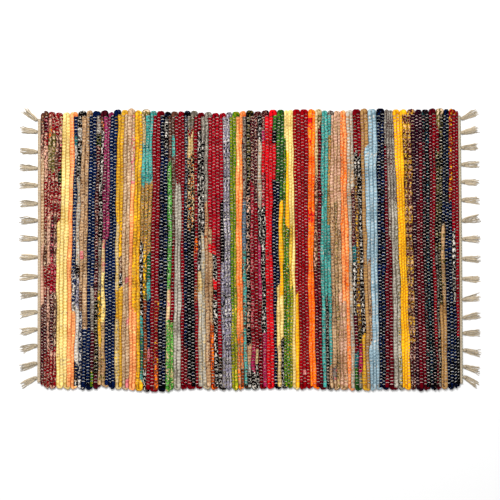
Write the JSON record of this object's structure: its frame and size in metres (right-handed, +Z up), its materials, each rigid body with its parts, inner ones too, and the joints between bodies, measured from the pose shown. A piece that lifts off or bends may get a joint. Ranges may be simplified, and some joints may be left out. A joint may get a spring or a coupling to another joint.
{
  "type": "rag rug",
  "caption": "Flat-woven rag rug with many-coloured cross ribs, narrow cotton end headings and short knotted warp tassels at both ends, lying flat on the floor.",
  "frame": {"origin": "middle of the rug's underside, at the centre of the whole outline with the tassels", "axes": "+X along the rug from the left tassels to the right ones, +Y across it along the rags towards the picture's top edge, +Z up out of the face that is seen"},
  "size_m": [0.9906, 0.6116, 0.0064],
  "materials": {
    "rag_cloth": "matt cotton rags in many colours, plain and printed",
    "cotton_picks": "undyed cotton picks, matt",
    "cotton_thread": "undyed cotton warp thread, matt"
  },
  "bodies": {
    "root": {"rag_weave": "rag_cloth", "heading_left": "cotton_picks", "heading_right": "cotton_picks", "tassel_left_01": "cotton_thread", "tassel_left_02": "cotton_thread", "tassel_left_03": "cotton_thread", "tassel_left_04": "cotton_thread", "tassel_left_05": "cotton_thread", "tassel_left_06": "cotton_thread", "tassel_left_07": "cotton_thread", "tassel_left_08": "cotton_thread", "tassel_left_09": "cotton_thread", "tassel_left_10": "cotton_thread", "tassel_left_11": "cotton_thread", "tassel_left_12": "cotton_thread", "tassel_left_13": "cotton_thread", "tassel_left_14": "cotton_thread", "tassel_left_15": "cotton_thread", "tassel_left_16": "cotton_thread", "tassel_right_01": "cotton_thread", "tassel_right_02": "cotton_thread", "tassel_right_03": "cotton_thread", "tassel_right_04": "cotton_thread", "tassel_right_05": "cotton_thread", "tassel_right_06": "cotton_thread", "tassel_right_07": "cotton_thread", "tassel_right_08": "cotton_thread", "tassel_right_09": "cotton_thread", "tassel_right_10": "cotton_thread", "tassel_right_11": "cotton_thread", "tassel_right_12": "cotton_thread", "tassel_right_13": "cotton_thread", "tassel_right_14": "cotton_thread", "tassel_right_15": "cotton_thread", "tassel_right_16": "cotton_thread"}
  },
  "joints": []
}
